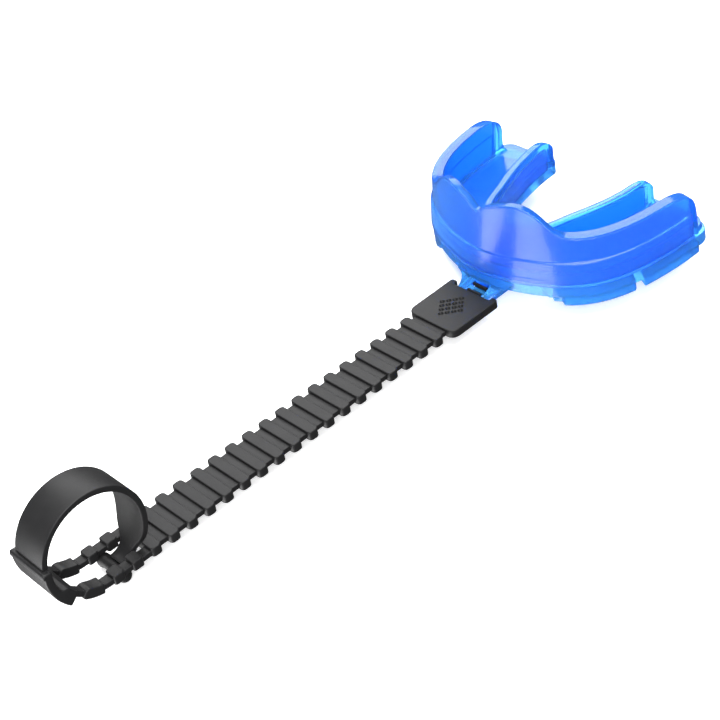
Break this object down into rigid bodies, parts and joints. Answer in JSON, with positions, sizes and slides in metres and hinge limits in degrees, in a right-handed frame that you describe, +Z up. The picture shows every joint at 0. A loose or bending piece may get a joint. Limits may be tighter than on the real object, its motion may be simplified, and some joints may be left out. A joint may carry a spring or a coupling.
{
  "type": "tethered sports mouthguard",
  "caption": "Translucent blue horseshoe mouthguard with tooth channel and bite pads, on a ribbed black rubber tether that ends in a looped band.",
  "frame": {"origin": "centre of the bottom of the bounding box", "axes": "+Y runs along the tether towards the back teeth, +X is the wearer's left, +Z is up"},
  "size_m": [0.0648, 0.1698, 0.0284],
  "materials": {
    "shell_blue": "glossy translucent royal blue elastomer",
    "liner_blue": "glossy translucent azure gel",
    "base_blue": "glossy translucent azure elastomer",
    "tether_black": "satin moulded rubber"
  },
  "bodies": {
    "mouthguard": {"outer_shell": "shell_blue", "gel_liner": "liner_blue", "lingual_shell": "shell_blue", "bite_base": "base_blue", "tether_tab": "base_blue", "bite_pad_front_left": "base_blue", "bite_pad_front_right": "base_blue", "bite_pad_rear_left": "base_blue", "bite_pad_rear_right": "base_blue"},
    "tether_head": {"head_pad": "tether_black", "head_hook": "tether_black"},
    "link_00": {"rib_00": "tether_black"},
    "link_01": {"rib_01": "tether_black"},
    "link_02": {"rib_02": "tether_black"},
    "link_03": {"rib_03": "tether_black"},
    "link_04": {"rib_04": "tether_black"},
    "link_05": {"rib_05": "tether_black"},
    "link_06": {"rib_06": "tether_black"},
    "link_07": {"rib_07": "tether_black"},
    "link_08": {"rib_08": "tether_black"},
    "link_09": {"rib_09": "tether_black"},
    "link_10": {"rib_10": "tether_black"},
    "link_11": {"rib_11": "tether_black"},
    "link_12": {"rib_12": "tether_black"},
    "link_13": {"rib_13": "tether_black"},
    "link_14": {"rib_14": "tether_black"},
    "link_15": {"rib_15": "tether_black"},
    "link_16": {"rib_16": "tether_black"},
    "link_17": {"rib_17": "tether_black"},
    "tail_frame": {"rail_left": "tether_black", "rail_right": "tether_black", "curled_end": "tether_black", "keeper_lip": "tether_black"},
    "tail_band": {"band": "tether_black", "t_bar": "tether_black"}
  },
  "joints": [
    {"name": "tether_swivel", "type": "hinge", "parent": "mouthguard", "child": "tether_head", "pos_m": [0, 0.04004, 0.00397], "axis": [1, 0, 0], "range_deg": [-25, 20]},
    {"name": "web_00", "type": "hinge", "parent": "tether_head", "child": "link_00", "pos_m": [0, 0.02347, 0.00402], "axis": [1, 0, 0], "range_deg": [-8, 8], "stiffness_Nm_per_rad": 0.012},
    {"name": "web_01", "type": "hinge", "parent": "link_00", "child": "link_01", "pos_m": [0, 0.01894, 0.00402], "axis": [1, 0, 0], "range_deg": [-8, 8], "stiffness_Nm_per_rad": 0.012},
    {"name": "web_02", "type": "hinge", "parent": "link_01", "child": "link_02", "pos_m": [0, 0.01414, 0.00402], "axis": [1, 0, 0], "range_deg": [-8, 8], "stiffness_Nm_per_rad": 0.012},
    {"name": "web_03", "type": "hinge", "parent": "link_02", "child": "link_03", "pos_m": [0, 0.00934, 0.00402], "axis": [1, 0, 0], "range_deg": [-8, 8], "stiffness_Nm_per_rad": 0.012},
    {"name": "web_04", "type": "hinge", "parent": "link_03", "child": "link_04", "pos_m": [0, 0.00454, 0.00402], "axis": [1, 0, 0], "range_deg": [-8, 8], "stiffness_Nm_per_rad": 0.012},
    {"name": "web_05", "type": "hinge", "parent": "link_04", "child": "link_05", "pos_m": [0, -0.00026, 0.00402], "axis": [1, 0, 0], "range_deg": [-8, 8], "stiffness_Nm_per_rad": 0.012},
    {"name": "web_06", "type": "hinge", "parent": "link_05", "child": "link_06", "pos_m": [0, -0.00506, 0.00402], "axis": [1, 0, 0], "range_deg": [-8, 8], "stiffness_Nm_per_rad": 0.012},
    {"name": "web_07", "type": "hinge", "parent": "link_06", "child": "link_07", "pos_m": [0, -0.00986, 0.00402], "axis": [1, 0, 0], "range_deg": [-8, 8], "stiffness_Nm_per_rad": 0.012},
    {"name": "web_08", "type": "hinge", "parent": "link_07", "child": "link_08", "pos_m": [0, -0.01466, 0.00402], "axis": [1, 0, 0], "range_deg": [-8, 8], "stiffness_Nm_per_rad": 0.012},
    {"name": "web_09", "type": "hinge", "parent": "link_08", "child": "link_09", "pos_m": [0, -0.01946, 0.00402], "axis": [1, 0, 0], "range_deg": [-8, 8], "stiffness_Nm_per_rad": 0.012},
    {"name": "web_10", "type": "hinge", "parent": "link_09", "child": "link_10", "pos_m": [0, -0.02426, 0.00402], "axis": [1, 0, 0], "range_deg": [-8, 8], "stiffness_Nm_per_rad": 0.012},
    {"name": "web_11", "type": "hinge", "parent": "link_10", "child": "link_11", "pos_m": [0, -0.02906, 0.00402], "axis": [1, 0, 0], "range_deg": [-8, 8], "stiffness_Nm_per_rad": 0.012},
    {"name": "web_12", "type": "hinge", "parent": "link_11", "child": "link_12", "pos_m": [0, -0.03386, 0.00402], "axis": [1, 0, 0], "range_deg": [-8, 8], "stiffness_Nm_per_rad": 0.012},
    {"name": "web_13", "type": "hinge", "parent": "link_12", "child": "link_13", "pos_m": [0, -0.03866, 0.00402], "axis": [1, 0, 0], "range_deg": [-8, 8], "stiffness_Nm_per_rad": 0.012},
    {"name": "web_14", "type": "hinge", "parent": "link_13", "child": "link_14", "pos_m": [0, -0.04346, 0.00402], "axis": [1, 0, 0], "range_deg": [-8, 8], "stiffness_Nm_per_rad": 0.012},
    {"name": "web_15", "type": "hinge", "parent": "link_14", "child": "link_15", "pos_m": [0, -0.04826, 0.00402], "axis": [1, 0, 0], "range_deg": [-8, 8], "stiffness_Nm_per_rad": 0.012},
    {"name": "web_16", "type": "hinge", "parent": "link_15", "child": "link_16", "pos_m": [0, -0.05306, 0.00402], "axis": [1, 0, 0], "range_deg": [-8, 8], "stiffness_Nm_per_rad": 0.012},
    {"name": "web_17", "type": "hinge", "parent": "link_16", "child": "link_17", "pos_m": [0, -0.05786, 0.00402], "axis": [1, 0, 0], "range_deg": [-8, 8], "stiffness_Nm_per_rad": 0.012},
    {"name": "web_18", "type": "hinge", "parent": "link_17", "child": "tail_frame", "pos_m": [0, -0.06176, 0.00402], "axis": [1, 0, 0], "range_deg": [-8, 8], "stiffness_Nm_per_rad": 0.012},
    {"name": "band_flex", "type": "hinge", "parent": "tail_frame", "child": "tail_band", "pos_m": [0, -0.08328, 0.01666], "axis": [1, 0, 0], "range_deg": [-2, 0], "stiffness_Nm_per_rad": 0.012}
  ]
}
